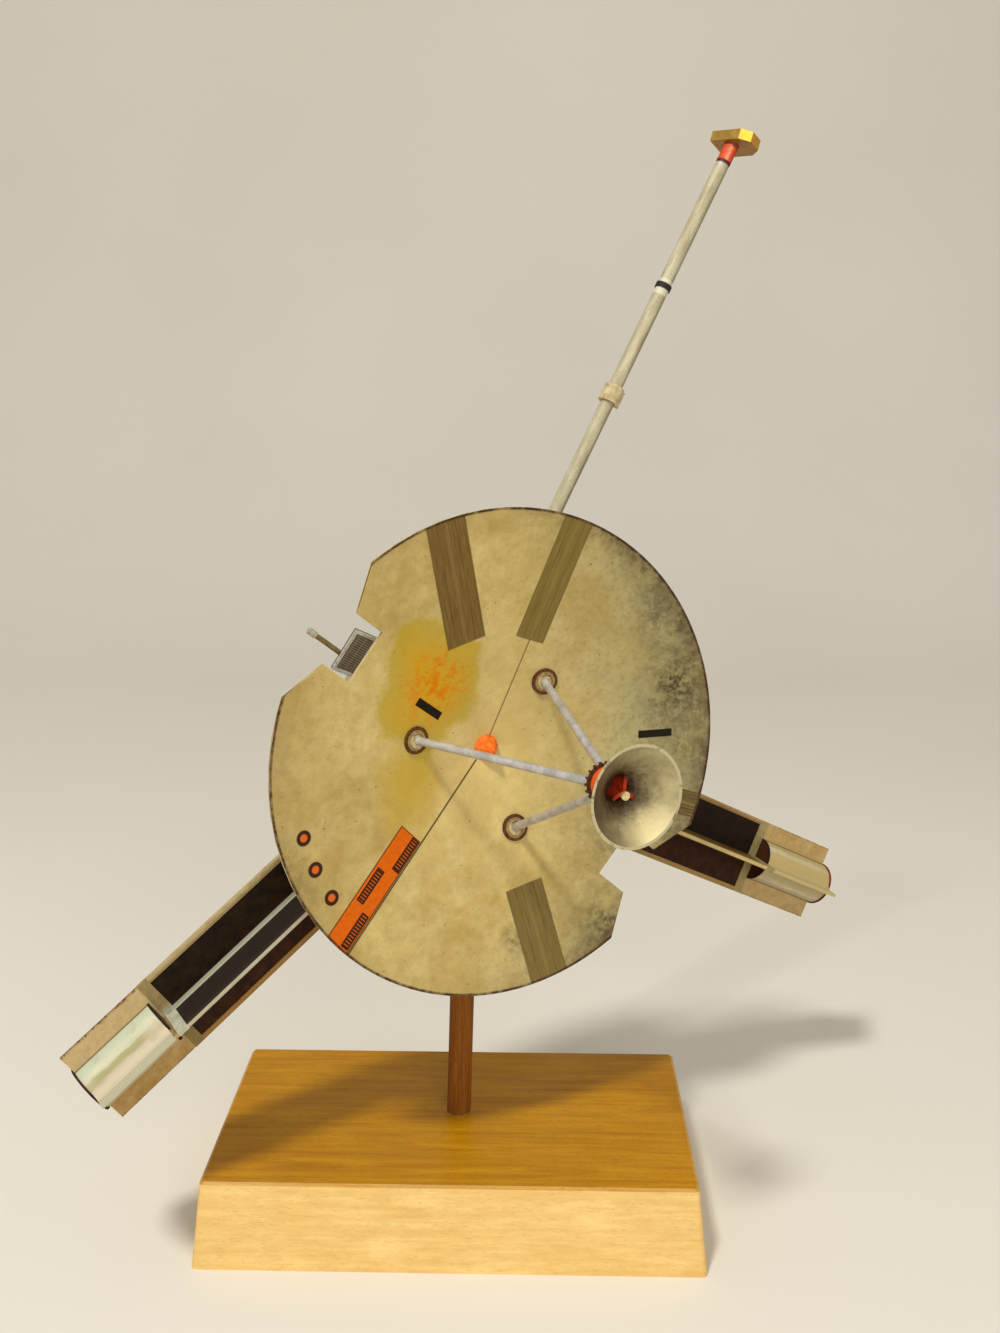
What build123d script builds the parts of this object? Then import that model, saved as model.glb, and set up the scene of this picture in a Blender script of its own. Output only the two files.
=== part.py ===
from build123d import *
import math
import os

# Wooden stand
PLINTH_LENGTH = 120.0
PLINTH_WIDTH = 70.0
PLINTH_HEIGHT = 21.0
PLINTH_INSET = 2.2
PLINTH_CORNER = 1.2
PLINTH_EDGE = 0.6
DOWEL_DIAMETER = 6.0
DOWEL_X = 0.7
DOWEL_Y = 1.3
DOWEL_LEAN = 1.6
SOCKET_DEPTH = 12.0

# How the model sits on the stand
BUS_HEIGHT = 118.4
PROBE_TURN = 29.5
PROBE_RISE = 0.9

# Card, glue and fits
CARD = 0.6
FIT = 0.05

# Dish: two cones of thin card that touch at the neck and stand apart at the rim
DISH_DIAMETER = 113.5
DISH_DEPTH = 11.5
DISH_CARD = 0.28
DISH_RIM_GAP = 0.33
DISH_BACKING_SIDES = 64
DISH_NECK_DIAMETER = 18.0
DISH_NECK_SIDES = 12
DISH_NECK_GAP = 0.6
NOTCH_HALF_WIDTH = 6.5
NOTCH_FLOOR = 42.0
NOTCH_SHOULDER = 50.1
NOTCH_MOUTH = 17.1
NOTCH_ANGLES = (-52.2, 132.4)
APEX_CONE_DIAMETER = 6.4
APEX_CONE_HEIGHT = 4.6
APEX_CONE_SIDES = 8

# Feed tripod, its hub and the horn
FOOT_RADIUS = 20.3
FOOT_ANGLES = (42.3, 163.9, -76.1)
FOOT_RING_DIAMETER = 6.4
FOOT_RING_SIDES = 24
FOOT_RING_HEIGHT = 0.5
FOOT_SOCKET_DIAMETER = 3.6
FOOT_SOCKET_HEIGHT = 0.9
STRUT_DIAMETER = 1.9
STRUT_SEAT_RADIUS = 1.9
STRUT_HEADS_X = 0.4
STRUT_HEADS_Y = 3.5
FEED_X = 0.2
FEED_Y = 4.0
HUB_BACK = 39.4
STUD_BAND_DIAMETER = 7.6
STUD_BAND_HEIGHT = 1.1
STUD_COUNT = 18
STUD_SIZE = 0.5
HUB_DIAMETER = 7.0
HUB_HEIGHT = 2.6
HORN_WALL = 0.45
HORN_THROAT_DIAMETER = 6.0
HORN_THROAT_DEPTH = 1.4
HORN_MOUTH_DIAMETER = 21.3
HORN_FLARE = 7.6
VANE_COUNT = 3
VANE_ANGLE = 5.0
VANE_LENGTH = 4.0
VANE_REACH = 3.1
VANE_THICKNESS = 0.8
BUTTON_DIAMETER = 1.8
BUTTON_DROP = 0.8
BUTTON_HEIGHT = 0.6

# Hexagonal bus and what it carries
BUS_SIDE = 29.0
BUS_DEPTH = 13.8
BAY_REACH = 9.0
BAY_WIDTH = 26.0
BAY_CORNER = 5.0
BAY_DEPTH = 9.0
BAY_ANGLE = -60.0
ADAPTER_DIAMETER = 26.0
ADAPTER_SIDES = 24
ADAPTER_WALL = 1.2
ADAPTER_HEIGHT = 2.4

# Instrument on the equipment bay: a tilted panel on a box, with a thin rod from the box's end
PANEL_RADIUS = 40.7
PANEL_OFFSET = 5.5
PANEL_FRONT = -10.0
PANEL_TILT = -22.0
PANEL_TURN = 3.8
PANEL_WIDTH = 6.3
PANEL_LENGTH = 10.7
PANEL_CARD = 0.5
PANEL_FRAME = 0.7
BOX_START = 29.5
BOX_END = 41.2
BOX_LENGTH = 8.6
ROD_OFFSET = 4.1
ROD_HEIGHT = -12.4
ROD_TURN = -8.2
ROD_DIAMETER = 1.2
ROD_LENGTH = 9.2
ROD_TIP_DIAMETER = 1.6
ROD_TIP_LENGTH = 2.0

# Two power arms of crossed card, square rods along the edges and a band at the end
ARM_HALF_WIDTH = 10.4
ARM_FIN_REACH = 9.5
ARM_CARD = 0.8
ARM_ROD = 1.2
ARM_ROOT_OVERLAP = 3.0
BAND_LENGTH = 2.6
BAND_WRAP = 0.2
LEFT_ARM_ANGLE = -126.4
LEFT_ARM_OFFSET = 1.4
LEFT_ARM_REACH = 93.2
LEFT_ARM_LEAN = -1.5
RIGHT_ARM_ANGLE = 116.7
RIGHT_ARM_OFFSET = 0.3
RIGHT_ARM_REACH = 97.8
RIGHT_ARM_LEAN = 6.0

# Finned unit at each arm's end: rolled covers on a flat card, between round end caps
LEFT_UNIT_LENGTH = 21.3
LEFT_COVER_START = 1.1
RIGHT_UNIT_LENGTH = 24.8
RIGHT_COVER_START = 0.5
COVER_DIAMETER = 11.2
COVER_FILLET = 2.2
COVER_FIN = 0.9
CAP_DIAMETER = 11.8
CAP_THICKNESS = 0.5

# Boom in the plane of the arms
BOOM_ANGLE = 29.75
BOOM_ROOT_X = 7.5
BOOM_DIAMETER = 3.4
BOOM_LOWER = 93.0
BOOM_RING_DIAMETER = 4.0
BOOM_RING_HEIGHT = 1.3
BOOM_UPPER = 33.7
BOOM_SOCKET_DIAMETER = 5.4
BOOM_SOCKET_HEIGHT = 3.0
COLLAR_AT = 64.2
COLLAR_LENGTH = 4.2
COLLAR_DIAMETER = 5.0
COLLAR_TAB = 1.3
TIP_TUBE_DIAMETER = 3.6
TIP_TUBE_LENGTH = 5.0

# Six-sided sensor case on the boom's tip: two of its corners are cut off
CASE_LENGTH = 10.4
CASE_WIDTH = 7.95
CASE_HEIGHT = 2.6
CASE_CUT_LENGTH = 2.46
CASE_CUT_WIDTH = 2.0
CASE_SEAT_X = 4.62
CASE_SEAT_Y = 2.83
CASE_TURN = -41.1
CASE_PITCH = -16.9
CASE_ROLL = 16.1

# Values that follow from the ones above
DISH_RADIUS = DISH_DIAMETER / 2
DISH_SLOPE = math.degrees(math.atan2(DISH_DEPTH, DISH_RADIUS))
CARD_DROP = DISH_CARD / math.cos(math.radians(DISH_SLOPE))
BACKING_DROP = (DISH_CARD + FIT) / math.cos(math.radians(DISH_SLOPE))
DISH_DROP = BACKING_DROP + CARD_DROP
BUS_FRONT = -(DISH_DEPTH + DISH_DROP + DISH_NECK_GAP)
BUS_MIDDLE = BUS_FRONT - BUS_DEPTH / 2
BUS_BACK = BUS_FRONT - BUS_DEPTH
BUS_FLAT = BUS_SIDE * math.sqrt(3) / 2
FEED = Location((FEED_X, FEED_Y, HUB_BACK))
TRIM = DISH_DIAMETER * 2

turn = math.radians(PROBE_TURN)
rise = math.radians(PROBE_RISE)
AHEAD = Vector(math.sin(turn) * math.cos(rise), -math.cos(turn) * math.cos(rise), math.sin(rise))
ACROSS = Vector(math.cos(turn), math.sin(turn), 0)
LEAN_SHIFT = (BUS_HEIGHT - PLINTH_HEIGHT) * math.tan(math.radians(DOWEL_LEAN))
BUS_CENTRE = Vector(DOWEL_X + LEAN_SHIFT, DOWEL_Y, BUS_HEIGHT)
RIM_CENTRE = BUS_CENTRE - AHEAD * BUS_MIDDLE
PROBE = Plane(origin=RIM_CENTRE, x_dir=ACROSS, z_dir=AHEAD).location

nodes = {}


def keep(name, shape):
    """Store a piece that is already in the stand's frame."""
    nodes[name] = shape


def keep_on_probe(name, shape):
    """Store a piece that was drawn in the dish frame: Z runs out along the dish axis."""
    nodes[name] = shape.moved(PROBE)


def clock(radius, angle, height=0.0):
    """Point at a clock angle, counted clockwise from the top of the dish."""
    a = math.radians(angle)
    return Vector(radius * math.sin(a), radius * math.cos(a), height)


def radial_frame(angle, height=0.0):
    """Frame whose X runs outwards at a clock angle and whose Z is the dish axis."""
    return Plane(origin=(0, 0, height), x_dir=clock(1, angle), z_dir=(0, 0, 1)).location


def cone_height(radius):
    """Height of the dish's front face at a radius."""
    return -DISH_DEPTH * (1 - radius / DISH_RADIUS)


def tube(start, end, outer, inner=0.0):
    """Round tube or rod between two points."""
    axis = end - start
    frame = Plane(origin=start, z_dir=axis.normalized())
    body = extrude(frame * Circle(outer / 2), axis.length)
    if inner > 0:
        body -= extrude(frame * Circle(inner / 2), axis.length)
    return body


def beyond(plane):
    """Block that fills the far side of a plane, to trim a piece flush with it."""
    return extrude(plane * Rectangle(TRIM, TRIM), TRIM)


def make_stand():
    taper = math.degrees(math.atan2(PLINTH_INSET, PLINTH_HEIGHT))
    body = extrude(Rectangle(PLINTH_LENGTH, PLINTH_WIDTH), PLINTH_HEIGHT, taper=taper)
    level_edges = body.faces().filter_by(Axis.Z).edges()
    corners = [edge for edge in body.edges() if edge not in level_edges]
    body = fillet(corners, PLINTH_CORNER)
    top = body.faces().sort_by(Axis.Z)[-1]
    body = chamfer(top.edges(), PLINTH_EDGE)
    foot = Vector(DOWEL_X, DOWEL_Y, PLINTH_HEIGHT)
    lean = Vector(math.sin(math.radians(DOWEL_LEAN)), 0, math.cos(math.radians(DOWEL_LEAN)))
    mouth = foot + lean * DOWEL_DIAMETER
    floor = foot - lean * SOCKET_DEPTH
    body -= tube(floor, mouth, DOWEL_DIAMETER + 2 * FIT)
    keep("plinth", body)

    # The dowel ends flush inside the bus, in a socket through the bus's lower side
    head = foot + lean * (BUS_HEIGHT - PLINTH_HEIGHT) / lean.Z
    dowel = tube(floor, head, DOWEL_DIAMETER)
    keep("stand_dowel", dowel)
    return tube(foot, head + lean * FIT, DOWEL_DIAMETER + 2 * FIT)


def notch_outline():
    """Slot with a flared mouth, open past the rim, along +X."""
    outer = DISH_RADIUS + NOTCH_MOUTH
    mouth_x = math.sqrt(DISH_RADIUS ** 2 - NOTCH_MOUTH ** 2)
    flare = (NOTCH_MOUTH - NOTCH_HALF_WIDTH) / (mouth_x - NOTCH_SHOULDER)
    wide = NOTCH_MOUTH + (outer - mouth_x) * flare
    upper = [
        (NOTCH_FLOOR, NOTCH_HALF_WIDTH),
        (NOTCH_SHOULDER, NOTCH_HALF_WIDTH),
        (outer, wide),
    ]
    lower = [(x, -y) for x, y in reversed(upper)]
    return make_face(Polyline(*upper, *lower, close=True))


def scored_card(profile):
    """Ring of card scored into flat strips, from a closed profile of (radius, height) points."""
    step = 360 / DISH_BACKING_SIDES
    faces = []
    for (radius, height), (next_radius, next_height) in zip(profile, profile[1:] + profile[:1]):
        for index in range(DISH_BACKING_SIDES):
            angle = index * step
            faces.append(make_face(Polyline(
                clock(radius, angle, height),
                clock(radius, angle + step, height),
                clock(next_radius, angle + step, next_height),
                clock(next_radius, angle, next_height),
                close=True,
            )).face())
    return Solid(Shell(faces))


def cut_notches(card):
    """Take both notches out of one of the dish's cards."""
    notch = extrude(notch_outline(), DISH_DEPTH * 3).moved(Location((0, 0, -DISH_DEPTH * 2)))
    for angle in NOTCH_ANGLES:
        card -= notch.moved(radial_frame(angle))
    return card


def make_dish():
    profile = make_face(Polyline(
        (0, -DISH_DEPTH),
        (DISH_RADIUS, 0),
        (DISH_RADIUS, -CARD_DROP),
        (0, -DISH_DEPTH - CARD_DROP),
        close=True,
    ))
    keep_on_probe("dish", cut_notches(revolve(Plane.XZ * profile, Axis.Z)))

    # Folded card ring that carries the dish on the bus
    neck = DISH_NECK_DIAMETER / 2
    wall = RegularPolygon(neck, DISH_NECK_SIDES) - RegularPolygon(neck - CARD, DISH_NECK_SIDES)
    flat_radius = (neck - CARD) * math.cos(math.pi / DISH_NECK_SIDES)
    top = cone_height(flat_radius) - BACKING_DROP
    keep_on_probe("dish_neck", extrude(wall, top - BUS_FRONT).moved(Location((0, 0, BUS_FRONT))))

    # Backing card: seated round the neck, it springs away from the front card towards the rim
    hole = neck + FIT
    inner_height = cone_height(hole) - BACKING_DROP
    rim_height = -BACKING_DROP - DISH_RIM_GAP
    backing = scored_card([
        (hole, inner_height),
        (DISH_RADIUS, rim_height),
        (DISH_RADIUS, rim_height - CARD_DROP),
        (hole, inner_height - CARD_DROP),
    ])
    keep_on_probe("dish_backing", cut_notches(backing))

    # Small faceted cone glued into the middle of the dish
    radius = APEX_CONE_DIAMETER / 2
    base = Plane.XY.offset(cone_height(radius)) * RegularPolygon(radius, APEX_CONE_SIDES)
    tip = cone_height(radius) + APEX_CONE_HEIGHT
    keep_on_probe("apex_cone", loft([Vertex(0, 0, -DISH_DEPTH), base, Vertex(0, 0, tip)], ruled=True))


def make_tripod():
    heads = Vector(STRUT_HEADS_X, STRUT_HEADS_Y, 0)
    for number, angle in enumerate(FOOT_ANGLES, start=1):
        foot = clock(FOOT_RADIUS, angle, cone_height(FOOT_RADIUS))
        outwards = clock(1, angle)
        slope = math.radians(DISH_SLOPE)
        normal = Vector(0, 0, 1) * math.cos(slope) - outwards * math.sin(slope)
        seat = Plane(origin=foot + normal * FIT, z_dir=normal)
        head = heads + clock(STRUT_SEAT_RADIUS, angle, HUB_BACK)

        # The strut is cut flush with the cone at its foot and with the hub at its head
        direction = (head - foot).normalized()
        spare = direction * STRUT_DIAMETER
        long_strut = tube(foot - spare, head + spare, STRUT_DIAMETER)
        strut = (long_strut & beyond(seat)) - beyond(Plane.XY.offset(HUB_BACK))

        ring = RegularPolygon(FOOT_RING_DIAMETER / 2, FOOT_RING_SIDES)
        ring -= Circle(FOOT_SOCKET_DIAMETER / 2 + FIT)
        ring = extrude(seat * ring, FOOT_RING_HEIGHT)
        bore = tube(foot - spare, foot + spare * 2, STRUT_DIAMETER + 2 * FIT)
        socket = extrude(seat * Circle(FOOT_SOCKET_DIAMETER / 2), FOOT_SOCKET_HEIGHT) - bore
        keep_on_probe(f"foot_ring_{number}", ring)
        keep_on_probe(f"foot_socket_{number}", socket)
        keep_on_probe(f"strut_{number}", strut)


def make_feed():
    band = extrude(Circle(STUD_BAND_DIAMETER / 2), STUD_BAND_HEIGHT)
    stud = Box(STUD_SIZE * 2, STUD_SIZE, STUD_BAND_HEIGHT)
    studs = PolarLocations(STUD_BAND_DIAMETER / 2, STUD_COUNT)
    band += [place * Location((0, 0, STUD_BAND_HEIGHT / 2)) * stud for place in studs]
    keep_on_probe("feed_stud_band", band.moved(FEED))

    hub = extrude(Circle(HUB_DIAMETER / 2), HUB_HEIGHT)
    hub = chamfer(hub.edges().sort_by(Axis.Z)[-1], CARD)
    keep_on_probe("feed_hub", hub.moved(FEED * Location((0, 0, STUD_BAND_HEIGHT))))

    # Horn: a short closed throat, then the open flare
    base = FEED * Location((0, 0, STUD_BAND_HEIGHT + HUB_HEIGHT))
    throat = HORN_THROAT_DIAMETER / 2
    mouth = HORN_MOUTH_DIAMETER / 2
    rim = HORN_THROAT_DEPTH + HORN_FLARE
    flare_angle = math.atan2(mouth - throat, HORN_FLARE)
    inner_throat = throat - HORN_WALL
    inner_mouth = mouth - HORN_WALL / math.cos(flare_angle)
    flare_start = HORN_THROAT_DEPTH + HORN_WALL
    profile = make_face(Polyline(
        (0, 0),
        (throat, 0),
        (throat, HORN_THROAT_DEPTH),
        (mouth, rim),
        (inner_mouth, rim),
        (inner_throat, flare_start),
        (inner_throat, HORN_WALL),
        (0, HORN_WALL),
        close=True,
    ))
    keep_on_probe("horn", revolve(Plane.XZ * profile, Axis.Z).moved(base))

    # Three vanes that meet on the axis and follow the inside of the throat and flare
    vane_side = inner_throat - FIT
    vane_flare = (VANE_REACH - vane_side) * (rim - flare_start) / (inner_mouth - inner_throat)
    vane_top = HORN_WALL + VANE_LENGTH
    vane = make_face(Plane.XZ * Polyline(
        (0, HORN_WALL),
        (vane_side, HORN_WALL),
        (vane_side, flare_start),
        (VANE_REACH, flare_start + vane_flare),
        (VANE_REACH, vane_top),
        (0, vane_top),
        close=True,
    ))
    vane = extrude(vane, VANE_THICKNESS / 2, both=True)
    turns = [90 - VANE_ANGLE - index * 360 / VANE_COUNT for index in range(VANE_COUNT)]
    blades = [vane.moved(Rotation(0, 0, angle)) for angle in turns]
    keep_on_probe("feed_vanes", (blades[0] + blades[1:]).moved(base))
    button = extrude(Circle(BUTTON_DIAMETER / 2), BUTTON_HEIGHT)
    keep_on_probe("feed_button", button.moved(base * Location((0, -BUTTON_DROP, vane_top))))


def make_bus(dowel_hole):
    bus = extrude(RegularPolygon(BUS_SIDE, 6), BUS_DEPTH)
    bus = bus.moved(Location((0, 0, BUS_BACK)))
    bus -= dowel_hole.moved(PROBE.inverse())
    keep_on_probe("bus", bus)

    # Equipment bay on one flat, tapered towards its outer end
    half = BAY_WIDTH / 2
    bay = make_face(Polyline(
        (BUS_FLAT, -half),
        (BUS_FLAT + BAY_REACH - BAY_CORNER, -half),
        (BUS_FLAT + BAY_REACH, -half + BAY_CORNER),
        (BUS_FLAT + BAY_REACH, half - BAY_CORNER),
        (BUS_FLAT + BAY_REACH - BAY_CORNER, half),
        (BUS_FLAT, half),
        close=True,
    ))
    bay_back = BUS_MIDDLE - BAY_DEPTH / 2
    solid = extrude(bay, BAY_DEPTH).moved(radial_frame(BAY_ANGLE, bay_back))
    keep_on_probe("equipment_bay", solid)
    bay_front = bay_back + BAY_DEPTH

    def on_bay(radius, offset, height):
        return radial_frame(BAY_ANGLE) * Location((radius, -offset, height))

    # Panel behind the first notch: a silver frame on a dark grid plate
    panel = on_bay(PANEL_RADIUS, PANEL_OFFSET, PANEL_FRONT) * Rotation(PANEL_TILT, 0, PANEL_TURN)
    outline = Rectangle(PANEL_WIDTH, PANEL_LENGTH)
    window = Rectangle(PANEL_WIDTH - 2 * PANEL_FRAME, PANEL_LENGTH - 2 * PANEL_FRAME)
    keep_on_probe("instrument_frame", extrude(outline - window, -PANEL_CARD).moved(panel))
    grid_face = panel * Location((0, 0, -PANEL_CARD))
    grid = extrude(outline, -PANEL_CARD).moved(grid_face)

    # The box carries the grid plate out past the end of the bay
    body = extrude(Rectangle(BOX_END - BOX_START, BOX_LENGTH), BUS_DEPTH)
    body = body.moved(on_bay((BOX_START + BOX_END) / 2, PANEL_OFFSET, bay_front))
    box = grid + (body - beyond(Plane(grid_face)))
    keep_on_probe("instrument_box", box)

    # Thin sensor rod, cut flush with the outer end of the box, with a pale tip
    rod = on_bay(BOX_END, ROD_OFFSET, ROD_HEIGHT) * Rotation(0, 0, ROD_TURN)
    inner = (rod * Location((-ROD_DIAMETER, 0, 0))).position
    middle = (rod * Location((ROD_LENGTH, 0, 0))).position
    outer = (rod * Location((ROD_LENGTH + ROD_TIP_LENGTH, 0, 0))).position
    keep_on_probe("sensor_rod", tube(inner, middle, ROD_DIAMETER) - box)
    keep_on_probe("sensor_tip", tube(middle, outer, ROD_TIP_DIAMETER))

    # Open ring on the back of the bus, where the real craft joins its launcher
    ring = RegularPolygon(ADAPTER_DIAMETER / 2, ADAPTER_SIDES)
    ring -= RegularPolygon(ADAPTER_DIAMETER / 2 - ADAPTER_WALL, ADAPTER_SIDES)
    ring = extrude(ring, -ADAPTER_HEIGHT)
    keep_on_probe("adapter_ring", ring.moved(Location((0, 0, BUS_BACK))))
    return bus


def crossed_cards(card, lean):
    """Section of an arm: a flat card across a fin card that leans, with a rod on each free edge."""
    rod = Rectangle(ARM_ROD, ARM_ROD)
    flat = Rectangle(card, 2 * ARM_HALF_WIDTH)
    fin = Rectangle(2 * ARM_FIN_REACH, card)
    for side in (-1, 1):
        flat += rod.moved(Location((0, side * (ARM_HALF_WIDTH - ARM_ROD / 2), 0)))
        fin += rod.moved(Location((side * (ARM_FIN_REACH - ARM_ROD / 2), 0, 0)))
    return flat + fin.moved(Rotation(0, 0, lean))


def cover_section(lean):
    """Half of the unit's rolled cover: half round on the flat card, run out into a leaning fin."""
    seat = ARM_CARD / 2
    radius = COVER_DIAMETER / 2
    half_fin = COVER_FIN / 2
    front_half = Rectangle(radius * 2, radius * 2, align=(Align.MIN, Align.CENTER))
    half_round = Circle(radius) & front_half.moved(Location((seat, 0, 0)))
    fin = Rectangle(ARM_FIN_REACH - seat * 2, COVER_FIN, align=(Align.MIN, Align.CENTER))
    outline = half_round + fin.moved(Rotation(0, 0, lean) * Location((seat * 2, 0, 0)))
    meeting = math.sqrt(radius ** 2 - half_fin ** 2)
    inner_corners = []
    for side in (-1, 1):
        corner = Vector(meeting, side * half_fin).rotate(Axis.Z, lean)
        inner_corners.append(outline.vertices().sort_by_distance(corner)[0])
    return fillet(inner_corners, COVER_FILLET)


def make_arm(bus, side, angle, offset, reach, lean, unit_length, cover_start):
    """Arm from the bus flat to its finned unit. Local Z runs along the arm, X is the dish axis."""
    out = clock(1, angle)
    across = out.cross(Vector(0, 0, 1))
    start = BUS_FLAT - ARM_ROOT_OVERLAP
    root = out * start + across * offset + Vector(0, 0, BUS_MIDDLE)
    place = Plane(origin=root, x_dir=(0, 0, 1), z_dir=out).location
    length = reach - start

    # The girder's root is cut to lie flat against the side of the bus
    girder = extrude(crossed_cards(ARM_CARD, lean), length - BAND_LENGTH)
    girder = girder.moved(place) - bus
    keep_on_probe(f"{side}_arm", girder)

    # Closing band wrapped round the cards at the arm's end
    band = extrude(crossed_cards(ARM_CARD + 2 * BAND_WRAP, lean), BAND_LENGTH)
    keep_on_probe(f"{side}_end_band", band.moved(place * Location((0, 0, length - BAND_LENGTH))))

    # Flat card of the unit, with a short stretch of the fin card before the covers begin
    unit_place = place * Location((0, 0, length))
    fin = Rectangle(2 * ARM_FIN_REACH, COVER_FIN).moved(Rotation(0, 0, lean))
    flat = Rectangle(ARM_CARD, 2 * ARM_HALF_WIDTH)
    card = extrude(flat, unit_length) + extrude(fin, cover_start)
    keep_on_probe(f"{side}_unit_fins", card.moved(unit_place))

    # Front and back covers, each run out into a fin
    front = extrude(cover_section(lean), unit_length - cover_start)
    covers = front + front.moved(Rotation(0, 0, 180))
    keep_on_probe(f"{side}_unit_body", covers.moved(unit_place * Location((0, 0, cover_start))))

    # Round caps: the inner one is cut in quarters by the cards, the outer one closes the end
    disc = Circle(CAP_DIAMETER / 2)
    quarters = extrude(disc - flat - fin, CAP_THICKNESS)
    quarters = quarters.moved(Location((0, 0, cover_start - CAP_THICKNESS)))
    end_cap = extrude(disc, CAP_THICKNESS).moved(Location((0, 0, unit_length)))
    keep_on_probe(f"{side}_unit_caps", (quarters + end_cap).moved(unit_place))


# Name, clock angle, sideways offset, reach, lean of the fins, and the unit's length and cover start
ARMS = (
    (
        "left", LEFT_ARM_ANGLE, LEFT_ARM_OFFSET, LEFT_ARM_REACH, LEFT_ARM_LEAN,
        LEFT_UNIT_LENGTH, LEFT_COVER_START,
    ),
    (
        "right", RIGHT_ARM_ANGLE, RIGHT_ARM_OFFSET, RIGHT_ARM_REACH, RIGHT_ARM_LEAN,
        RIGHT_UNIT_LENGTH, RIGHT_COVER_START,
    ),
)


def make_boom():
    out = clock(1, BOOM_ANGLE)
    root = Vector(BOOM_ROOT_X, BUS_FLAT, BUS_MIDDLE)

    def at(distance):
        return root + out * distance

    bore = BOOM_DIAMETER + 2 * FIT
    socket = tube(at(-BOOM_SOCKET_DIAMETER), at(BOOM_SOCKET_HEIGHT), BOOM_SOCKET_DIAMETER, bore)
    above_flat = beyond(Plane(origin=root, z_dir=(0, 1, 0)))
    keep_on_probe("boom_socket", socket & above_flat)

    lower = tube(at(-BOOM_DIAMETER), at(BOOM_LOWER), BOOM_DIAMETER) & above_flat
    keep_on_probe("boom_lower_tube", lower)
    ring_top = BOOM_LOWER + BOOM_RING_HEIGHT
    keep_on_probe("boom_ring", tube(at(BOOM_LOWER), at(ring_top), BOOM_RING_DIAMETER))
    upper_top = ring_top + BOOM_UPPER
    keep_on_probe("boom_upper_tube", tube(at(ring_top), at(upper_top), BOOM_DIAMETER))

    # Card collar wrapped round the lower tube, its loose end standing off as a tab
    half = COLLAR_LENGTH / 2
    collar = tube(at(COLLAR_AT - half), at(COLLAR_AT + half), COLLAR_DIAMETER, bore)
    frame = Plane(origin=at(COLLAR_AT), x_dir=out.cross(Vector(0, 0, 1)), z_dir=out).location
    tab = Box(COLLAR_TAB, CARD, COLLAR_LENGTH)
    tab = tab.moved(frame * Location(((COLLAR_DIAMETER + COLLAR_TAB) / 2 - CARD, 0, 0)))
    keep_on_probe("boom_collar", collar + tab)

    # Sensor case, tilted on the tip; its underside is a plane that trims the tip tube
    seat = (PROBE * Location(tuple(at(upper_top + TIP_TUBE_LENGTH)))).position
    tilt = Rotation(0, CASE_ROLL, 0) * Rotation(CASE_PITCH, 0, 0) * Rotation(0, 0, CASE_TURN)
    underside = Location(tuple(seat)) * tilt * Location((-CASE_SEAT_X, -CASE_SEAT_Y, 0))
    outline = make_face(Polyline(
        (0, 0),
        (CASE_LENGTH - CASE_CUT_LENGTH, 0),
        (CASE_LENGTH, CASE_CUT_WIDTH),
        (CASE_LENGTH, CASE_WIDTH - CASE_CUT_WIDTH),
        (CASE_LENGTH - CASE_CUT_LENGTH, CASE_WIDTH),
        (0, CASE_WIDTH),
        close=True,
    ))
    keep("sensor_case", extrude(outline, CASE_HEIGHT).moved(underside))
    long_tip = tube(at(upper_top), at(upper_top + TIP_TUBE_LENGTH + TIP_TUBE_DIAMETER), TIP_TUBE_DIAMETER)
    keep("boom_tip_tube", long_tip.moved(PROBE) - beyond(Plane(underside)))


dowel_hole = make_stand()
make_dish()
make_tripod()
make_feed()
bus = make_bus(dowel_hole)
for arm in ARMS:
    make_arm(bus, *arm)
make_boom()

os.makedirs("parts", exist_ok=True)
for name, shape in nodes.items():
    export_step(shape, f"parts/{name}.step")
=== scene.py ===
import math
import bmesh
import bpy
from mathutils import Matrix, Vector
from mathutils import noise as field


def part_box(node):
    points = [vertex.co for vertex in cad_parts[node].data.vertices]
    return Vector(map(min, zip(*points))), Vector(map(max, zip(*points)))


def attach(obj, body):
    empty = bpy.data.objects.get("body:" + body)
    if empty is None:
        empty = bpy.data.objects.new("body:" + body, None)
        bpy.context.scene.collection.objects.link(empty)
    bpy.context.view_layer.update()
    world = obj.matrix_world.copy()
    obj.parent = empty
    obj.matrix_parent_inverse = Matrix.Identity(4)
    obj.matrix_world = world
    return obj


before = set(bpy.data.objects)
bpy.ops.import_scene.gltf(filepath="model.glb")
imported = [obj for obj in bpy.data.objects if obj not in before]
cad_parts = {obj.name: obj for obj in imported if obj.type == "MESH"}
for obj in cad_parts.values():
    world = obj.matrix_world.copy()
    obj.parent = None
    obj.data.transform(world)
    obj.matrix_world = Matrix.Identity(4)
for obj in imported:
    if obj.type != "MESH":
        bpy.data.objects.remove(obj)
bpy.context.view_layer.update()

MM = 0.001

# Lengths are in mm, but those of the stage and lights are in metres; clock angles are in degrees

# Dish frame: X across, Y up the dish, Z out along its axis, from the middle of the rim
PROBE_TURN = math.radians(29.5)
PROBE_RISE = math.radians(0.9)
RIM_CENTRE = Vector((13.08, -15.77, 118.71))
RIM_RADIUS = 56.75
AHEAD = Vector((
    math.sin(PROBE_TURN) * math.cos(PROBE_RISE),
    -math.cos(PROBE_TURN) * math.cos(PROBE_RISE),
    math.sin(PROBE_RISE),
))
ACROSS = Vector((math.cos(PROBE_TURN), math.sin(PROBE_TURN), 0.0))
UP = AHEAD.cross(ACROSS)

# Places in the dish frame: middle of the bus, axis of the feed, root and clock angle of the boom
BUS_MIDDLE = -19.6
FEED_CENTRE = (0.2, 4.0)
BOOM_ROOT = (7.5, 25.1)
BOOM_ANGLE = 29.75

# The tilted panel: bay direction, and the panel's middle out from the axis, sideways and along it
BAY_ANGLE = -60.0
PANEL_PLACE = (40.7, 5.5, -10.0)
PANEL_TILT = math.radians(-22.0)

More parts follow.
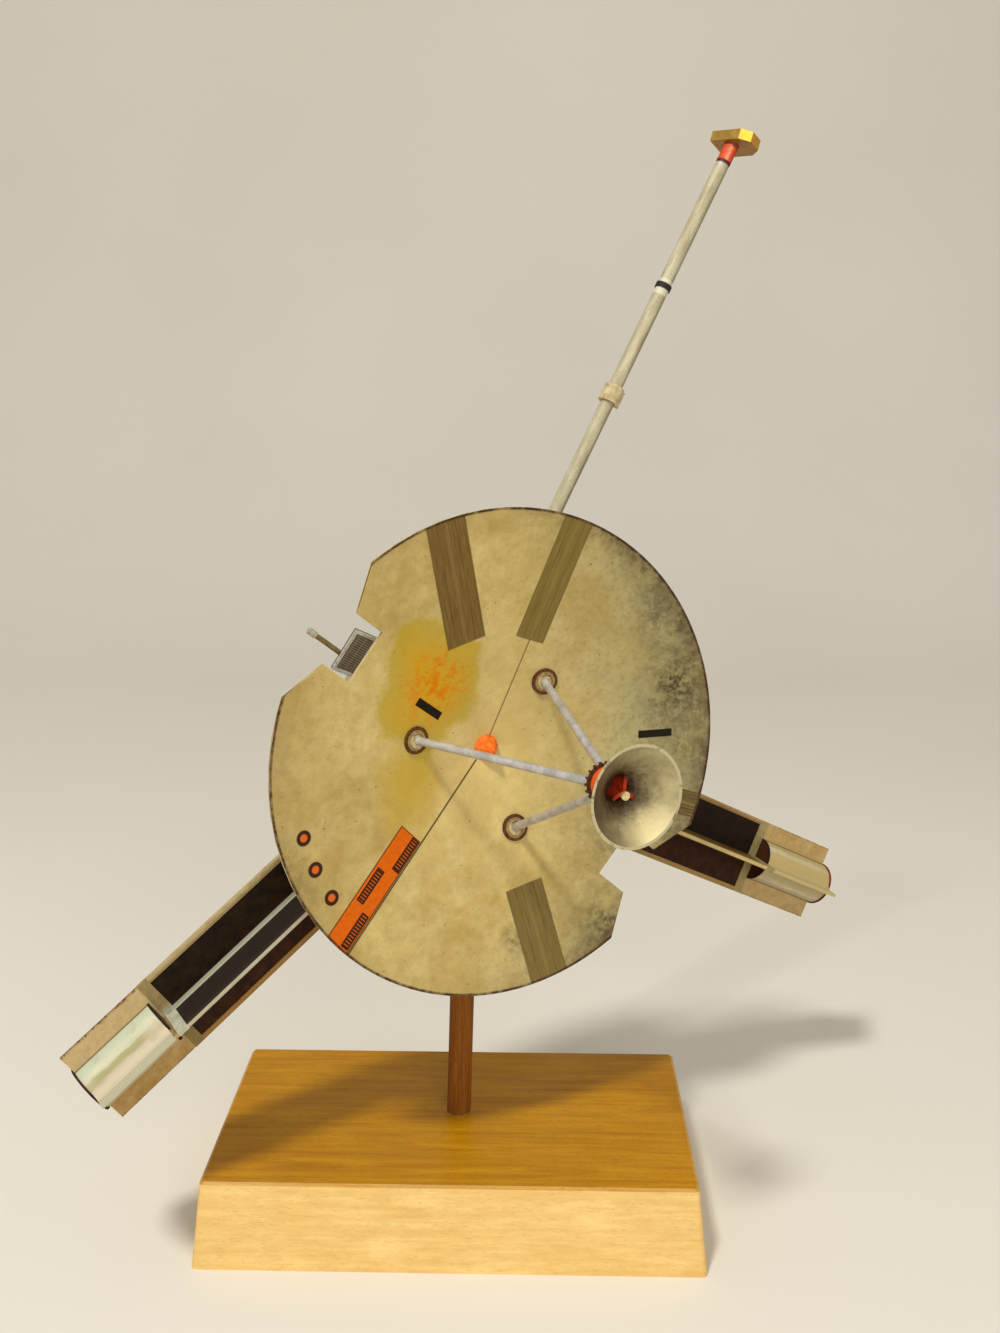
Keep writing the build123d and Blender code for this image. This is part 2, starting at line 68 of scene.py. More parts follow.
# Foot of the dowel on the plinth, and the glue bead round it: mean size and how much that varies
DOWEL_FOOT = (0.7, 1.3)
DOWEL_RADIUS = 3.0
BEAD_SIZE = 0.24
BEAD_UNEVEN = 0.14
BEAD_TURNS = 48
BEAD_SIDES = 8

# Camera fitted to the photograph, whose frame is 1000 x 1333; its angles are in radians
CAMERA_PLACE = Vector((17.296, -320.939, 204.131))
CAMERA_YAW = -0.0202
CAMERA_PITCH = 0.2076
CAMERA_ROLL = -0.0032
FOCAL_PIXELS = 1390.0
FRAME_PIXELS = 1000.0
SENSOR = 36.0

# Floor that sweeps up into the backdrop, and plain studio light
STAGE_HALF_WIDTH = 3.0
STAGE_FRONT = -1.6
STAGE_BACK = 1.1
STAGE_HEIGHT = 2.2
STAGE_BEND = 0.5
BEND_STEPS = 16
LIGHT_TARGET = Vector((0.0, 0.0, 0.12))
LIGHT_TINT = (1.0, 0.985, 0.96)
WORLD_STRENGTH = 0.42


def probe_point(x, y, z=0.0):
    """World place of a point given in the dish frame."""
    return RIM_CENTRE + ACROSS * x + UP * y + AHEAD * z


def clock(angle):
    """Direction in the dish plane at a clock angle, clockwise from the top."""
    a = math.radians(angle)
    return ACROSS * math.sin(a) + UP * math.cos(a)


def colour(red, green, blue):
    """Linear colour from the 0-255 values that a screen shows."""
    def linear(value):
        value /= 255
        return value / 12.92 if value <= 0.04045 else ((value + 0.055) / 1.055) ** 2.4
    return (linear(red), linear(green), linear(blue), 1.0)


class Paint:
    """A node material in the making. Most methods add nodes and give back their output."""

    def __init__(self, name, roughness=0.7, metallic=0.0, specular=0.35):
        self.material = bpy.data.materials.new(name)
        self.material.use_nodes = True
        self.tree = self.material.node_tree
        self.shader = self.tree.nodes["Principled BSDF"]
        self.shader.inputs["Roughness"].default_value = roughness
        self.shader.inputs["Metallic"].default_value = metallic
        self.shader.inputs["Specular IOR Level"].default_value = specular

    def node(self, kind, inputs=(), **settings):
        """New node, with its inputs given by name or number."""
        made = self.tree.nodes.new(kind)
        for key, value in settings.items():
            setattr(made, key, value)
        for key, value in dict(inputs).items():
            self.feed(made.inputs[key], value)
        return made

    def feed(self, socket, value):
        """Link an input to another node's output, or set its own value."""
        if isinstance(value, bpy.types.NodeSocket):
            self.tree.links.new(value, socket)
        else:
            socket.default_value = value

    def math(self, operation, *values):
        """Result of an operation on values."""
        made = self.node("ShaderNodeMath", operation=operation)
        for socket, value in zip(made.inputs, values):
            self.feed(socket, value)
        return made.outputs[0]

    def place(self, origin=None, along=None, out=None):
        """Coordinates in mm: X runs along one direction, Z runs out along another."""
        here = self.node("ShaderNodeTexCoord").outputs["Object"]
        mapping = self.node("ShaderNodeMapping", {"Vector": here}, vector_type="TEXTURE")
        mapping.inputs["Scale"].default_value = (MM, MM, MM)
        if origin is not None:
            x_axis = along.normalized()
            y_axis = out.cross(x_axis).normalized()
            z_axis = x_axis.cross(y_axis)
            turn = Matrix((x_axis, y_axis, z_axis)).transposed().to_euler()
            mapping.inputs["Location"].default_value = origin * MM
            mapping.inputs["Rotation"].default_value = turn
        return mapping.outputs[0]

    def split(self, vector):
        """X, Y and Z of a vector."""
        return self.node("ShaderNodeSeparateXYZ", {0: vector}).outputs[:]

    def join(self, x, y, z=0.0):
        """Vector of X, Y and Z."""
        return self.node("ShaderNodeCombineXYZ", {0: x, 1: y, 2: z}).outputs[0]

    def stretch(self, vector, *scale):
        """Vector with each axis scaled on its own."""
        made = self.node("ShaderNodeVectorMath", {0: vector, 1: scale}, operation="MULTIPLY")
        return made.outputs[0]

    def noise(self, vector, scale, detail=3.0, rough=0.5, bend=0.0):
        """Cloudy noise round 0.5, finer with a larger scale."""
        made = self.node("ShaderNodeTexNoise", {
            "Vector": vector,
            "Scale": scale,
            "Detail": detail,
            "Roughness": rough,
            "Distortion": bend,
        })
        return made.outputs[0]

    def ramp(self, value, low, high, end=1.0, start=0.0):
        """Clamped straight ramp of a value from (low, start) to (high, end)."""
        made = self.node("ShaderNodeMapRange", {0: value, 1: low, 2: high, 3: start, 4: end})
        return made.outputs[0]

    def fade(self, value, low, high, strength=1.0):
        """Full strength up to low, falling to 0 at high."""
        return self.ramp(value, low, high, 0.0, start=strength)

    def past(self, value, limit, soft=0.05):
        """1 past a limit, with a soft edge."""
        return self.ramp(value, limit - soft, limit + soft)

    def within(self, value, limit, soft=0.05):
        """1 short of a limit, with a soft edge."""
        return self.fade(value, limit - soft, limit + soft)

    def band(self, value, middle, half, soft=0.12):
        """1 within half of the middle, with soft edges."""
        return self.within(self.size(self.math("SUBTRACT", value, middle)), half, soft)

    def rules(self, value, step, half, soft):
        """Lines across a value at every second step, from 0."""
        return self.band(self.math("PINGPONG", value, step), 0.0, half, soft)

    def all_of(self, *masks):
        """Product of masks and strengths."""
        made = masks[0]
        for mask in masks[1:]:
            made = self.math("MULTIPLY", made, mask)
        return made

    def any_of(self, *masks):
        """Largest of some masks."""
        made = masks[0]
        for mask in masks[1:]:
            made = self.math("MAXIMUM", made, mask)
        return made

    def size(self, value):
        """Value without its sign."""
        return self.math("ABSOLUTE", value)

    def length(self, x, y):
        """Length of a flat vector."""
        squares = self.math("ADD", self.math("MULTIPLY", x, x), self.math("MULTIPLY", y, y))
        return self.math("SQRT", squares)

    def mix(self, amount, under, over):
        """Colour from under at 0 to over at 1."""
        made = self.node("ShaderNodeMix", data_type="RGBA")
        self.feed(made.inputs[0], amount)
        self.feed(made.inputs[6], under)
        self.feed(made.inputs[7], over)
        return made.outputs[2]

    def over(self, tone, shade, *masks):
        """A shade laid over a tone where all the masks say so."""
        return self.mix(self.all_of(*masks), tone, shade)

    def blend(self, value, low, high, first, last):
        """Colour that goes from the first to the last as a value goes from low to high."""
        return self.mix(self.ramp(value, low, high), first, last)

    def facing(self, direction):
        """How squarely a face looks along a direction: 1 towards it, 0 edge-on, -1 away."""
        normal = self.node("ShaderNodeNewGeometry").outputs["Normal"]
        inputs = {0: normal, 1: direction}
        made = self.node("ShaderNodeVectorMath", inputs, operation="DOT_PRODUCT")
        return made.outputs["Value"]

    def cut_edge(self, low=0.5, high=0.8):
        """1 on the cut edges of a card that lies in the dish plane."""
        return self.fade(self.size(self.facing(AHEAD)), low, high)

    def bump(self, height, strength, depth):
        """Relief of the surface, with its depth in mm."""
        inputs = {"Strength": strength, "Distance": depth * MM, "Height": height}
        made = self.node("ShaderNodeBump", inputs)
        self.feed(self.shader.inputs["Normal"], made.outputs[0])

    def finish(self, tone, *nodes, roughness=None):
        """Set the colour and give the material to the named nodes."""
        self.feed(self.shader.inputs["Base Color"], tone)
        if roughness is not None:
            self.feed(self.shader.inputs["Roughness"], roughness)
        for name in nodes:
            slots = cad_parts[name].data.materials
            slots.clear()
            slots.append(self.material)
        return self.material

    def finish_card(self, tone, vector, *nodes, low=0.5, high=0.75):
        """Finish with the fibre bump and the uneven sheen of matt printed card."""
        self.bump(self.noise(vector, 3.2, 5.0, 0.65), 0.35, 0.05)
        cloud = self.noise(vector, 0.35, 3.0, 0.6)
        self.finish(tone, *nodes, roughness=self.ramp(cloud, 0.3, 0.7, high, start=low))


class FacePaint(Paint):
    """Paint with X across, Y up the dish and Z out along its axis, from a given middle."""

    def __init__(self, name, middle=RIM_CENTRE, **settings):
        super().__init__(name, **settings)
        self.here = self.place(middle, ACROSS, AHEAD)
        self.x, self.y = self.split(self.here)[:2]


# Plain painted cards: nodes, fineness of the clouds, and dark, middle and pale colours
PLAIN_CARDS = {
    "apex_card": (("apex_cone",), 0.9, (216, 88, 2), (246, 118, 12), (255, 152, 48)),
    "hub_card": (("feed_hub",), 0.9, (190, 64, 8), (236, 96, 20), (250, 142, 60)),
    "stud_card": (("feed_stud_band",), 1.5, (48, 28, 16), (86, 48, 24), (190, 92, 40)),
    "button_card": (("feed_button",), 1.5, (206, 180, 108), (240, 224, 160), (250, 240, 200)),
    "neck_card": (
        ("dish_neck", "adapter_ring"), 0.4, (150, 132, 92), (178, 160, 118), (206, 190, 150),
    ),
    "frame_card": (
        ("instrument_frame",), 1.0, (164, 154, 132), (204, 200, 188), (228, 226, 214),
    ),
    "rod_paint": (("sensor_rod",), 1.0, (98, 78, 40), (134, 110, 62), (180, 158, 112)),
    "rod_tip_paint": (("sensor_tip",), 1.0, (140, 128, 102), (186, 178, 156), (214, 208, 190)),
    "collar_card": (("boom_collar",), 0.7, (166, 142, 96), (204, 188, 144), (230, 218, 184)),
    "ring_card": (("boom_ring",), 1.2, (20, 16, 12), (34, 28, 22), (74, 62, 48)),
}


def paint_plain_cards():
    """Cloudy tone, fine specks and a slightly scuffed surface on each plain card."""
    for name, (nodes, scale, dark, middle, pale) in PLAIN_CARDS.items():
        paint = Paint(name)
        here = paint.place()
        cloud = paint.noise(here, scale, 4.0, 0.6)
        tone = paint.blend(cloud, 0.35, 0.6, colour(*dark), colour(*middle))
        scuff = paint.noise(here, scale * 6, 4.0, 0.7)
        tone = paint.over(tone, colour(*pale), paint.ramp(scuff, 0.58, 0.72, 0.6))
        paint.finish_card(tone, here, *nodes)


# Clock angle, width, inner radius and colour of the dark strips on the dish
STRIPS = (
    (-15.6, 9.5, 27.3, colour(104, 78, 32)),
    (19.3, 7.3, 27.2, colour(114, 96, 42)),
    (168.8, 9.6, 33.9, colour(106, 88, 44)),
    (109.9, 6.0, 34.0, colour(74, 60, 38)),
)

# Clock angles of the cone's seam above and below the middle, and where the seam starts and ends
UPPER_SEAM = 19.5
LOWER_SEAM = -134.5
SEAM_START = 2.0
UPPER_SEAM_END = 27.3

# Orange strip beside the lower seam: its start, middle, half width and dark frame
ORANGE_START = 27.0
ORANGE_MIDDLE = 3.6
ORANGE_HALF = 3.3
ORANGE_FRAME = 0.25

# Dark boxes in it, with their distances out and sideways, the hatch of orange bars in each box,
# and half the pitch of the bars. Half sizes are along the strip and across it.
BOXES = ((31.6, 1.7), (41.8, 4.9), (51.6, 1.8))
BOX_HALF = (4.3, 1.1)
HATCH_HALF = (3.9, 0.72)
BAR_STEP = 0.36

# Clock angle and radius of the round sensor marks, with the radii of their rings and hearts
ROUND_MARKS = ((-103.5, 50.5), (-112.4, 50.5), (-121.3, 50.5))
MARK_RING = 1.76
MARK_HEART = 0.88

# Clock angle, radius, length and width of the black slots
SLOTS = ((-54.4, 20.0, 7.8, 2.0), (90.1, 42.3, 8.6, 1.9))

# Clock angle, radius, reach and strength of the dark smudges, most of them on the right side
SMUDGES = (
    (40, 58, 12, 0.6), (57, 56, 15, 0.9), (76, 49, 13, 0.95), (92, 53, 16, 0.6),
    (118, 55, 12, 0.6), (133, 38, 14, 0.35), (148, 54, 13, 0.85), (176, 45, 5, 0.8),
    (-52, 55, 9, 0.35), (-112, 58, 12, 0.4),
)

# Middle and half sizes of the yellow stain and of its tail, and the middle of the splashes
STAIN = (-16.6, 17.4, 13.4, 16.4)
STAIN_TAIL = (-22.0, -4.0, 9.0, 13.0)
SPLASHES = (-14.7, 16.9)


class DishPaint(FacePaint):
    """The dish's print. Each layer takes the tone so far and gives it back with more on it."""

    def __init__(self):
        super().__init__("dish_print", specular=0.12)
        self.flat = self.join(self.x, self.y)
        self.radius = self.length(self.x, self.y)
        self.cloud = self.noise(self.flat, 0.045, 5.0, 0.6, 0.6)
        self.patch = self.noise(self.flat, 0.11, 5.0, 0.62, 0.4)
        self.mottle = self.noise(self.flat, 0.35, 6.0, 0.68)

    def outward(self, angle):
        """Distance out from the middle along a clock angle."""
        a = math.radians(angle)
        across = self.math("MULTIPLY", self.x, math.sin(a))
        up = self.math("MULTIPLY", self.y, math.cos(a))
        return self.math("ADD", across, up)

    def spoke(self, angle):
        """Distance out along a clock angle, and sideways from it, clockwise positive."""
        return self.outward(angle), self.outward(angle + 90.0)

    def far_from(self, angle, distance):
        """Distance from the point at a clock angle and radius."""
        out, side = self.spoke(angle)
        return self.length(self.math("SUBTRACT", out, distance), side)

    def oval(self, centre_x, centre_y, half_x, half_y, bend):
        """1 on the edge of an oval whose outline wanders, less inside it."""
        across = self.math("DIVIDE", self.math("SUBTRACT", self.x, centre_x), half_x)
        up = self.math("DIVIDE", self.math("SUBTRACT", self.y, centre_y), half_y)
        wander = self.noise(self.flat, 0.09, 4.0, 0.6)
        wander = self.ramp(wander, 0.25, 0.75, bend, start=-bend)
        return self.math("ADD", self.length(across, up), wander)

    def ground(self):
        """Sandy ground with clouds and a fine mottle, paler and smoother in the middle."""
        tone = self.blend(self.cloud, 0.36, 0.64, colour(181, 154, 87), colour(212, 188, 120))
        tone = self.over(tone, colour(224, 206, 146), self.ramp(self.patch, 0.44, 0.7, 0.45))
        tone = self.over(tone, colour(162, 136, 74), self.ramp(self.mottle, 0.42, 0.72, 0.5))
        grain = self.noise(self.flat, 2.4, 4.0, 0.7)
        tone = self.over(tone, colour(140, 116, 64), self.ramp(grain, 0.5, 0.75, 0.35))
        return self.over(tone, colour(222, 196, 126), self.fade(self.radius, 8.0, 36.0, 0.38))

    def left_toning(self, tone):
        """Brown toning along the left edge."""
        leftward = self.fade(self.x, -50.0, -36.0)
        uneven = self.ramp(self.patch, 0.3, 0.55, start=0.4)
        return self.over(tone, colour(146, 114, 62), leftward, uneven, 0.3)

    def right_toning(self, tone):
        """Grey-green towards the right side, sponged and smudged: card toning and painted shade.
        """
        right_side = self.ramp(self.outward(84), 6.0, 50.0)
        low_right = self.ramp(self.outward(138), 28.0, 58.0, 0.9)
        uneven = self.ramp(self.cloud, 0.34, 0.6, start=0.45)
        toned = self.all_of(self.any_of(right_side, low_right), uneven)
        # Partly the card's own toning, partly painted shade on the side that turns from the light
        tone = self.over(tone, colour(132, 130, 98), toned, 0.9)
        sponge = self.ramp(self.noise(self.flat, 0.7, 6.0, 0.75), 0.5, 0.64)
        tone = self.over(tone, colour(96, 90, 60), toned, sponge, 0.55)

        cluster = self.ramp(self.noise(self.flat, 0.12, 4.0, 0.6, 0.4), 0.3, 0.52)
        stipple = self.ramp(self.noise(self.flat, 0.5, 7.0, 0.75), 0.4, 0.56, start=0.2)
        for angle, distance, reach, strength in SMUDGES:
            near = self.fade(self.far_from(angle, distance), reach * 0.15, reach)
            tone = self.over(tone, colour(66, 60, 40), near, cluster, stipple, strength)
        return tone

    def rim_toning(self, tone):
        """Brown toning towards the rim, worn darker on the right."""
        uneven = self.ramp(self.cloud, 0.3, 0.7, start=0.1)
        near_rim = self.ramp(self.radius, 49.0, 57.0)
        tone = self.over(tone, colour(124, 98, 54), near_rim, uneven, 0.4)
        worn = self.ramp(self.mottle, 0.4, 0.6, start=0.2)
        nearer_rim = self.ramp(self.radius, 52.0, 56.5)
        rightward = self.ramp(self.x, 0.0, 30.0)
        return self.over(tone, colour(84, 66, 42), nearer_rim, rightward, worn, 0.8)

    def stains(self, tone):
        """Yellow stain that fades out below, with orange splashes, and a few brown specks."""
        tail = self.oval(*STAIN_TAIL, 0.35)
        tone = self.over(tone, colour(187, 153, 40), self.fade(tail, 0.3, 1.15, 0.8))
        stain = self.oval(*STAIN, 0.28)
        tone = self.over(tone, colour(184, 156, 46), self.fade(stain, 0.9, 1.06, 0.82))
        tone = self.over(tone, colour(208, 156, 18), self.fade(stain, 0.1, 0.9, 0.9))

        off_x = self.math("SUBTRACT", self.x, SPLASHES[0])
        off_y = self.math("SUBTRACT", self.y, SPLASHES[1])
        off = self.length(off_x, off_y)
        blots = self.ramp(self.noise(self.flat, 0.42, 6.0, 0.72, 0.3), 0.47, 0.56)
        tone = self.over(tone, colour(212, 124, 0), blots, self.fade(off, 2.0, 10.5))
        drops = self.ramp(self.noise(self.flat, 0.85, 3.0, 0.5), 0.6, 0.64)
        tone = self.over(tone, colour(214, 120, 0), drops, self.fade(off, 5.0, 13.0, 0.9))

        speck = self.ramp(self.noise(self.flat, 0.9, 2.0, 0.4), 0.735, 0.76)
        return self.over(tone, colour(92, 64, 30), speck, 0.7)

    def strips(self, tone):
        """Dark strips with lengthwise streaks and ruled lines, and a line at their inner end."""
        for angle, width, inner, shade in STRIPS:
            out, side = self.spoke(angle)
            lengthwise = self.join(self.math("MULTIPLY", out, 0.05), side)
            streak = self.noise(lengthwise, 2.6, 5.0, 0.75)
            lit = self.over(shade, colour(148, 124, 68), self.ramp(streak, 0.38, 0.7, 0.65))
            ruled = self.rules(side, width / 8, 0.12, 0.1)
            lit = self.over(lit, colour(62, 46, 22), ruled, 0.35)
            spine = self.band(side, 0.0, 0.3, 0.2)
            lit = self.over(lit, colour(160, 138, 80), spine, 0.3)

            wider = self.band(side, 0.0, width / 2 + 0.15, 0.1)
            border = self.all_of(wider, self.past(out, inner - 0.25, 0.1))
            tone = self.over(tone, colour(70, 52, 24), border, 0.7)
            inside = self.all_of(self.band(side, 0.0, width / 2), self.past(out, inner, 0.15))
            tone = self.over(tone, lit, inside)
        return tone

    def seams(self, tone):
        """Dark seam of the cone, thin above the middle and thicker below it."""
        out, side = self.spoke(UPPER_SEAM)
        seam = self.all_of(
            self.band(side, 0.0, 0.16, 0.08),
            self.ramp(out, SEAM_START, SEAM_START + 0.5),
            self.within(out, UPPER_SEAM_END, 0.1),
        )
        tone = self.over(tone, colour(92, 68, 28), seam, 0.8)
        out, side = self.spoke(LOWER_SEAM)
        seam = self.all_of(
            self.band(side, 0.0, 0.22, 0.08),
            self.ramp(out, SEAM_START, SEAM_START + 0.5),
        )
        return self.over(tone, colour(56, 40, 14), seam, 0.9)

    def orange_strip(self, tone):
        """Worn orange strip beside the lower seam, dark-framed, with hatched boxes in it."""
        out, side = self.spoke(LOWER_SEAM)
        strip = self.all_of(
            self.band(side, ORANGE_MIDDLE, ORANGE_HALF, 0.06),
            self.ramp(out, ORANGE_START, ORANGE_START + 0.15),
        )
        inside = self.all_of(
            self.band(side, ORANGE_MIDDLE, ORANGE_HALF - ORANGE_FRAME, 0.06),
            self.ramp(out, ORANGE_START + 0.2, ORANGE_START + 0.35),
        )
        worn = self.ramp(self.noise(self.flat, 0.8, 5.0, 0.65), 0.4, 0.66, 0.5)
        orange = self.mix(worn, colour(216, 100, 4), colour(190, 78, 4))
        tone = self.over(tone, orange, strip)
        border = self.math("MAXIMUM", self.math("SUBTRACT", strip, inside), 0.0)
        tone = self.over(tone, colour(62, 32, 10), border)

        bars = self.band(self.math("PINGPONG", out, BAR_STEP), BAR_STEP, 0.13, 0.05)
        for distance, offset in BOXES:
            box = self.all_of(
                self.band(side, offset, BOX_HALF[1], 0.06),
                self.band(out, distance, BOX_HALF[0], 0.06),
            )
            tone = self.over(tone, colour(48, 26, 12), box)
            hatch = self.all_of(
                self.band(side, offset, HATCH_HALF[1], 0.05),
                self.band(out, distance, HATCH_HALF[0], 0.05),
            )
            tone = self.over(tone, colour(190, 86, 20), hatch, bars)
        return tone

    def marks(self, tone):
        """Round sensor marks and black slots."""
        for angle, distance in ROUND_MARKS:
            off = self.far_from(angle, distance)
            tone = self.over(tone, colour(56, 34, 16), self.within(off, MARK_RING, 0.1))
            tone = self.over(tone, colour(212, 98, 34), self.within(off, MARK_HEART, 0.1))
        for angle, distance, length, width in SLOTS:
            out, side = self.spoke(angle)
            slot = self.all_of(
                self.band(out, distance, length / 2, 0.08),
                self.band(side, 0.0, width / 2, 0.08),
            )
            tone = self.over(tone, colour(26, 20, 10), slot)
        return tone

    def edges(self, tone):
        """Dark line along the rim, cut edges that are pale in places, and plain card behind."""
        rim = self.ramp(self.radius, RIM_RADIUS - 0.75, RIM_RADIUS - 0.45)
        worn = self.ramp(self.mottle, 0.35, 0.55, start=0.4)
        tone = self.over(tone, colour(66, 44, 28), rim, worn)
        bare = self.noise(self.flat, 0.07, 3.0)
        cut = self.blend(bare, 0.45, 0.55, colour(84, 58, 32), colour(222, 204, 156))
        tone = self.over(tone, cut, self.cut_edge())
        back = self.fade(self.facing(AHEAD), -0.6, -0.4)
        return self.over(tone, colour(194, 180, 146), back)


def paint_dish():
    """The dish's print, layer by layer."""
    paint = DishPaint()
    tone = paint.ground()
    tone = paint.left_toning(tone)
    tone = paint.right_toning(tone)
    tone = paint.rim_toning(tone)
    tone = paint.stains(tone)
    tone = paint.strips(tone)
    tone = paint.seams(tone)
    tone = paint.orange_strip(tone)
    tone = paint.marks(tone)
    tone = paint.edges(tone)
    paint.finish_card(tone, paint.flat, "dish", low=0.46, high=0.7)


def paint_backing():
    """Second card behind the dish: plain, mottled, with pale cut edges."""
    paint = FacePaint("backing_card", specular=0.3)
    flat = paint.join(paint.x, paint.y)
    cloud = paint.noise(flat, 0.06, 5.0, 0.6, 0.5)
    tone = paint.blend(cloud, 0.35, 0.65, colour(172, 156, 116), colour(196, 182, 144))
    mottle = paint.noise(flat, 0.5, 6.0, 0.7)
    tone = paint.over(tone, colour(148, 132, 94), paint.ramp(mottle, 0.5, 0.7, 0.5))
    tone = paint.over(tone, colour(214, 196, 150), paint.cut_edge())
    paint.finish_card(tone, flat, "dish_backing")


def paint_plinth():
    """Stained beech: dark flecks, long soft grain, and a darker top from stain and painted shade.
    """
    paint = Paint("plinth_wood", specular=0.14)
    here = paint.place()
    grain = paint.noise(paint.stretch(here, 0.035, 0.55, 0.55), 1.0, 6.0, 0.6, 0.6)
    streak = paint.noise(paint.stretch(here, 0.02, 1.9, 1.9), 1.0, 4.0, 0.7)
    blotch = paint.noise(paint.stretch(here, 0.05, 0.12, 0.12), 1.0, 3.0, 0.6)
    fleck = paint.noise(paint.stretch(here, 0.7, 4.6, 4.6), 1.0, 2.0, 0.5)
    ripple = paint.noise(paint.stretch(here, 0.16, 0.75, 0.6), 1.0, 5.0, 0.7, 0.3)

    top = paint.blend(grain, 0.3, 0.7, colour(166, 108, 2), colour(196, 138, 10))
    top = paint.over(top, colour(146, 90, 2), paint.ramp(streak, 0.5, 0.75, 0.25))
    top = paint.over(top, colour(204, 148, 24), paint.ramp(blotch, 0.5, 0.7, 0.35))
    side = paint.blend(grain, 0.3, 0.7, colour(224, 182, 106), colour(240, 204, 130))
    side = paint.over(side, colour(212, 170, 98), paint.ramp(ripple, 0.46, 0.66, 0.5))
    side = paint.over(side, colour(246, 218, 150), paint.ramp(blotch, 0.5, 0.7, 0.45))
    # Faces that look up take the darker top: partly the stain, partly painted shade
    upward = paint.ramp(paint.facing((0.0, 0.0, 1.0)), 0.3, 0.9)
    tone = paint.mix(upward, side, top)
    dark = paint.mix(upward, colour(202, 154, 80), colour(120, 72, 8))
    tone = paint.over(tone, dark, paint.ramp(fleck, 0.6, 0.68, 0.45))

    paint.bump(paint.math("ADD", streak, paint.math("MULTIPLY", fleck, 0.5)), 0.25, 0.08)
    rough = paint.ramp(paint.noise(here, 0.05, 3.0), 0.3, 0.7, 0.5, start=0.34)
    paint.finish(tone, "plinth", roughness=rough)


def paint_dowel():
    """Darker wood with its grain and pores running up the dowel."""
    paint = Paint("dowel_wood", specular=0.18)
    here = paint.place()
    grain = paint.noise(paint.stretch(here, 1.3, 1.3, 0.045), 1.0, 5.0, 0.65, 0.4)
    pore = paint.noise(paint.stretch(here, 4.5, 4.5, 0.3), 1.0, 2.0, 0.5)
    tone = paint.blend(grain, 0.32, 0.68, colour(112, 62, 10), colour(152, 92, 26))
    tone = paint.over(tone, colour(76, 38, 8), paint.ramp(pore, 0.6, 0.7, 0.6))
    paint.bump(paint.math("ADD", grain, pore), 0.3, 0.08)
    rough = paint.ramp(grain, 0.3, 0.7, 0.75, start=0.55)
    paint.finish(tone, "stand_dowel", roughness=rough)


# Distances from an arm's middle: start of the rods on the flat card and on the fin, foot of the
# fin, border of the unit's flat card, and feet of its covers
FLAT_ROD = 9.17
FIN_ROD = 8.27
FIN_FOOT = 0.8
FLAT_BORDER = 10.1
COVER_FOOT = 5.62

# Each arm: clock angle, sideways offset, which way its side coordinate runs down, start of the
# covers, how far down the fin's front edge leans, strengths of the root line and of the covers'
# streak, and the colours of its pieces. Of two colours the first is the upper one, but in fin_rod
# the first is the fin's front edge.
# flats, covers_far, covers_near, fin_side, band_middle, near_cap and far_cap hold painted light
# and shade
ARMS = {
    "left": {
        "angle": -126.4, "offset": 1.4, "down": 1.0, "covers": 94.3, "fin_lean": 0.25,
        "root_line": 1.0, "streak": 0.9,
        "rods": (colour(180, 160, 114), colour(158, 118, 62)),
        "fin_rod": (colour(186, 178, 152), colour(50, 42, 34)),
        "fin_side": colour(44, 36, 28),
        "bands": (colour(150, 130, 84), colour(136, 114, 66)),
        "band_middle": colour(190, 192, 168),
        "flats": (colour(186, 160, 112), colour(164, 128, 70)),
        "covers_far": (colour(188, 194, 166), colour(172, 164, 128)),
        "covers_near": (colour(200, 186, 156), colour(182, 170, 132)),
        "fin": colour(188, 182, 154),
        "near_cap": colour(112, 86, 30),
        "far_cap": colour(38, 26, 30),
    },
    "right": {
        "angle": 116.7, "offset": 0.3, "down": -1.0, "covers": 98.3, "fin_lean": 0.99,
        "root_line": 0.0, "streak": 0.15,
        "rods": (colour(176, 140, 92), colour(160, 130, 74)),
        "fin_rod": (colour(196, 176, 122), colour(130, 98, 40)),
        "fin_side": colour(122, 92, 38),
        "bands": (colour(158, 142, 92), colour(164, 144, 98)),
        "band_middle": colour(160, 146, 100),
        "flats": (colour(174, 144, 86), colour(174, 146, 96)),
        "covers_far": (colour(182, 164, 112), colour(180, 168, 134)),
        "covers_near": (colour(186, 164, 106), colour(180, 164, 122)),
        "fin": colour(190, 168, 114),
        "near_cap": colour(64, 28, 12),
        "far_cap": colour(150, 66, 34),
    },
}


class ArmPaint(Paint):
    """Paint with coordinates along an arm, sideways with down positive, and ahead."""

    def __init__(self, name, arm, **settings):
        super().__init__(name, **settings)
        out = clock(arm["angle"])
        root = probe_point(0, 0, BUS_MIDDLE) + out.cross(AHEAD) * arm["offset"]
        self.here = self.place(root, out, AHEAD)
        self.along, side, self.ahead = self.split(self.here)
        self.down = self.math("MULTIPLY", side, arm["down"])
        self.down_off = self.size(self.down)
        self.ahead_off = self.size(self.ahead)
        self.upper = self.fade(self.down, -0.1, 0.1)
        self.lower = self.ramp(self.down, -0.1, 0.1)

    def halves(self, pair):
        """The first colour on the upper half, the second on the lower one."""
        return self.mix(self.lower, *pair)


